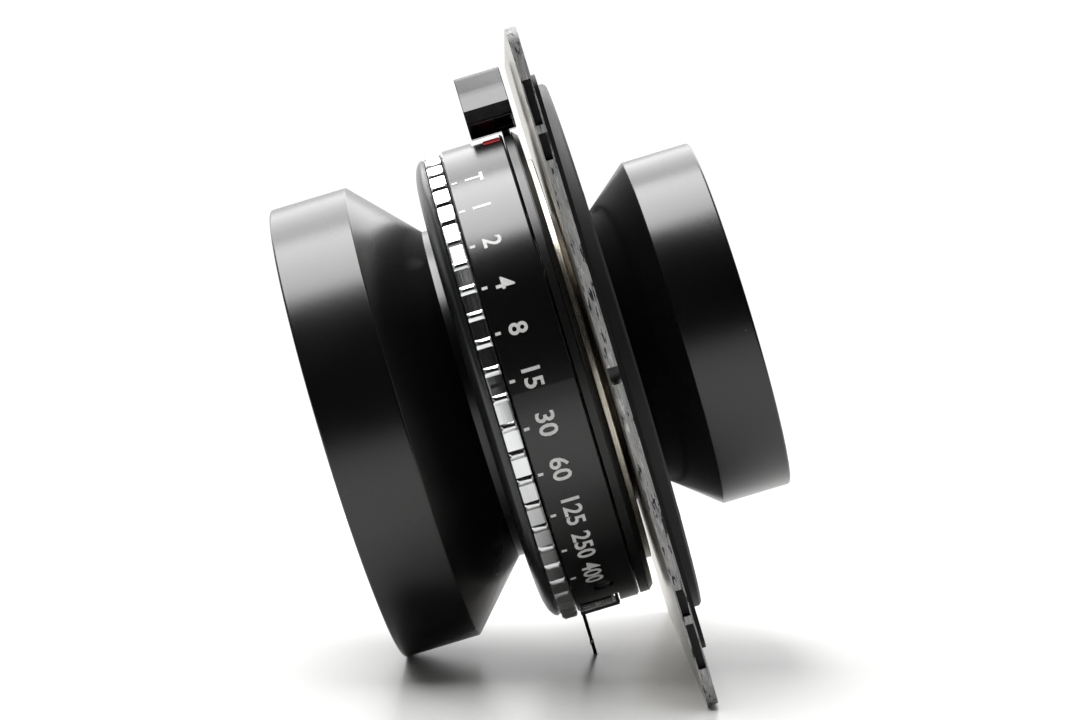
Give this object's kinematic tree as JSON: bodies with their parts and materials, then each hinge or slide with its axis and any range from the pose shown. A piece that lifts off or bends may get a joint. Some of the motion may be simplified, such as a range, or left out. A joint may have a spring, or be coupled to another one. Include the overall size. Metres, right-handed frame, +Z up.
{
  "type": "leaf shutter lens on a lens board",
  "caption": "Large-format plasmat lens in a leaf shutter with iris, cocking and speed controls, mounted on a flat lens board and resting on its rim.",
  "frame": {"origin": "point on the table under the middle of the box round the resting lens", "axes": "+Z up, the front of the lens faces -Y and dips towards the table, +X is the side with the notch in the board"},
  "size_m": [0.0986, 0.0776, 0.0917],
  "materials": {
    "board_metal": "aged satin metal, edges painted black and worn",
    "trap_black": "satin black paint with worn edges",
    "flange_metal": "nicked bare metal",
    "dark_collar": "dull dark coating",
    "shutter_black": "glossy satin black enamel",
    "front_plate_black": "matt black, lightly scuffed",
    "inner_metal": "turned and matt",
    "socket_chrome": "plated",
    "brass": "satin",
    "index_red": "red paint",
    "scale_black": "satin black with white numerals",
    "ring_silver": "satin plated with polished ribs",
    "lever_black": "blackened sprung steel",
    "thumb_plastic": "glossy black",
    "barrel_black": "satin black anodised",
    "name_ring_black": "matt black anodised",
    "blade_steel": "dark burnished steel",
    "screw_steel": "plain steel",
    "coated_glass": "optical glass with blue-violet coating"
  },
  "bodies": {
    "shutter_body": {"lens_board": "board_metal", "light_trap_plate": "trap_black", "light_trap_disc": "trap_black", "trap_rivets": "screw_steel", "retaining_ring": "trap_black", "mounting_flange": "flange_metal", "shutter_collar": "dark_collar", "shutter_tube": "dark_collar", "rear_cover": "shutter_black", "shutter_case": "shutter_black", "main_plate": "inner_metal", "blade_separator": "inner_metal", "iris_base": "inner_metal", "front_plate": "front_plate_black", "front_plate_screws": "screw_steel", "cable_socket": "socket_chrome", "sync_terminal": "socket_chrome", "sync_contact": "brass", "side_screw": "screw_steel", "index_mark": "index_red", "aperture_scale": "scale_black", "shutter_pins": "screw_steel", "iris_pins": "screw_steel", "front_barrel": "barrel_black", "front_name_ring": "name_ring_black", "front_glass_1": "coated_glass", "front_glass_2": "coated_glass", "front_spacer": "name_ring_black", "front_glass_3": "coated_glass", "rear_barrel": "barrel_black", "rear_name_ring": "name_ring_black", "rear_glass_1": "coated_glass", "rear_spacer": "name_ring_black", "rear_glass_2": "coated_glass", "rear_glass_3": "coated_glass"},
    "speed_dial": {"speed_ring": "ring_silver", "speed_cam": "inner_metal"},
    "aperture_control": {"aperture_lever": "lever_black", "iris_ring": "brass"},
    "cocking_control": {"cocking_ring": "shutter_black", "cocking_thumb": "thumb_plastic"},
    "release_control": {"release_lever": "lever_black"},
    "focus_control": {"focus_lever": "lever_black", "focus_ring": "brass"},
    "iris_leaf_1": {"iris_blade_1": "blade_steel"},
    "iris_leaf_2": {"iris_blade_2": "blade_steel"},
    "iris_leaf_3": {"iris_blade_3": "blade_steel"},
    "iris_leaf_4": {"iris_blade_4": "blade_steel"},
    "iris_leaf_5": {"iris_blade_5": "blade_steel"},
    "iris_leaf_6": {"iris_blade_6": "blade_steel"},
    "iris_leaf_7": {"iris_blade_7": "blade_steel"},
    "shutter_leaf_1": {"shutter_blade_1": "blade_steel"},
    "shutter_leaf_2": {"shutter_blade_2": "blade_steel"},
    "shutter_leaf_3": {"shutter_blade_3": "blade_steel"},
    "shutter_leaf_4": {"shutter_blade_4": "blade_steel"},
    "shutter_leaf_5": {"shutter_blade_5": "blade_steel"}
  },
  "joints": [
    {"name": "speed_turn", "type": "hinge", "parent": "shutter_body", "child": "speed_dial", "pos_m": [0, 0.00127, 0.04257], "axis": [0, -0.9558, -0.2939], "range_deg": [-55, 55]},
    {"name": "aperture_turn", "type": "hinge", "parent": "shutter_body", "child": "aperture_control", "pos_m": [0, 0.00127, 0.04257], "axis": [0, -0.9558, -0.2939], "range_deg": [-20, 20]},
    {"name": "cocking_swing", "type": "hinge", "parent": "shutter_body", "child": "cocking_control", "pos_m": [0, 0.00127, 0.04257], "axis": [0, -0.9558, -0.2939], "range_deg": [0, 48], "stiffness_Nm_per_rad": 0.05, "springref_deg": -14.32},
    {"name": "release_swing", "type": "hinge", "parent": "shutter_body", "child": "release_control", "pos_m": [0, 0.00127, 0.04257], "axis": [0, -0.9558, -0.2939], "range_deg": [0, 8], "stiffness_Nm_per_rad": 0.08, "springref_deg": -6.88},
    {"name": "focus_swing", "type": "hinge", "parent": "shutter_body", "child": "focus_control", "pos_m": [0, 0.00127, 0.04257], "axis": [0, -0.9558, -0.2939], "range_deg": [-20, 0]},
    {"name": "iris_leaf_turn_1", "type": "hinge", "parent": "shutter_body", "child": "iris_leaf_1", "pos_m": [0.01126, 0.0088, 0.01806], "axis": [0, -0.9558, -0.2939], "range_deg": [-14.01, 14.01]},
    {"name": "iris_leaf_turn_2", "type": "hinge", "parent": "shutter_body", "child": "iris_leaf_2", "pos_m": [0.02706, 0.00338, 0.0357], "axis": [0, -0.9558, -0.2939], "range_deg": [-14.01, 14.01]},
    {"name": "iris_leaf_turn_3", "type": "hinge", "parent": "shutter_body", "child": "iris_leaf_3", "pos_m": [0.02249, -0.00364, 0.05851], "axis": [0, -0.9558, -0.2939], "range_deg": [-14.01, 14.01]},
    {"name": "iris_leaf_turn_4", "type": "hinge", "parent": "shutter_body", "child": "iris_leaf_4", "pos_m": [0.00098, -0.00696, 0.06931], "axis": [0, -0.9558, -0.2939], "range_deg": [-14.01, 14.01]},
    {"name": "iris_leaf_turn_5", "type": "hinge", "parent": "shutter_body", "child": "iris_leaf_5", "pos_m": [-0.02127, -0.00409, 0.05997], "axis": [0, -0.9558, -0.2939], "range_deg": [-14.01, 14.01]},
    {"name": "iris_leaf_turn_6", "type": "hinge", "parent": "shutter_body", "child": "iris_leaf_6", "pos_m": [-0.0275, 0.00282, 0.03752], "axis": [0, -0.9558, -0.2939], "range_deg": [-14.01, 14.01]},
    {"name": "iris_leaf_turn_7", "type": "hinge", "parent": "shutter_body", "child": "iris_leaf_7", "pos_m": [-0.01302, 0.00855, 0.01887], "axis": [0, -0.9558, -0.2939], "range_deg": [-14.01, 14.01]},
    {"name": "shutter_leaf_turn_1", "type": "hinge", "parent": "shutter_body", "child": "shutter_leaf_1", "pos_m": [-0.01139, 0.00764, 0.01504], "axis": [0, -0.9558, -0.2939], "range_deg": [-34.01, 0]},
    {"name": "shutter_leaf_turn_2", "type": "hinge", "parent": "shutter_body", "child": "shutter_leaf_2", "pos_m": [0.02329, 0.0051, 0.0233], "axis": [0, -0.9558, -0.2939], "range_deg": [-34.01, 0]},
    {"name": "shutter_leaf_turn_3", "type": "hinge", "parent": "shutter_body", "child": "shutter_leaf_3", "pos_m": [0.02578, -0.00538, 0.05738], "axis": [0, -0.9558, -0.2939], "range_deg": [-34.01, 0]},
    {"name": "shutter_leaf_turn_4", "type": "hinge", "parent": "shutter_body", "child": "shutter_leaf_4", "pos_m": [-0.00735, -0.00931, 0.07017], "axis": [0, -0.9558, -0.2939], "range_deg": [-34.01, 0]},
    {"name": "shutter_leaf_turn_5", "type": "hinge", "parent": "shutter_body", "child": "shutter_leaf_5", "pos_m": [-0.03033, -0.00127, 0.044], "axis": [0, -0.9558, -0.2939], "range_deg": [-34.01, 0]}
  ],
  "couplings": [
    {"joint": "iris_leaf_turn_1", "follows": "aperture_turn", "ratio": 0.7},
    {"joint": "iris_leaf_turn_2", "follows": "aperture_turn", "ratio": 0.7},
    {"joint": "iris_leaf_turn_3", "follows": "aperture_turn", "ratio": 0.7},
    {"joint": "iris_leaf_turn_4", "follows": "aperture_turn", "ratio": 0.7},
    {"joint": "iris_leaf_turn_5", "follows": "aperture_turn", "ratio": 0.7},
    {"joint": "iris_leaf_turn_6", "follows": "aperture_turn", "ratio": 0.7},
    {"joint": "iris_leaf_turn_7", "follows": "aperture_turn", "ratio": 0.7},
    {"joint": "shutter_leaf_turn_1", "follows": "focus_swing", "ratio": 1.7},
    {"joint": "shutter_leaf_turn_2", "follows": "focus_swing", "ratio": 1.7},
    {"joint": "shutter_leaf_turn_3", "follows": "focus_swing", "ratio": 1.7},
    {"joint": "shutter_leaf_turn_4", "follows": "focus_swing", "ratio": 1.7},
    {"joint": "shutter_leaf_turn_5", "follows": "focus_swing", "ratio": 1.7}
  ]
}
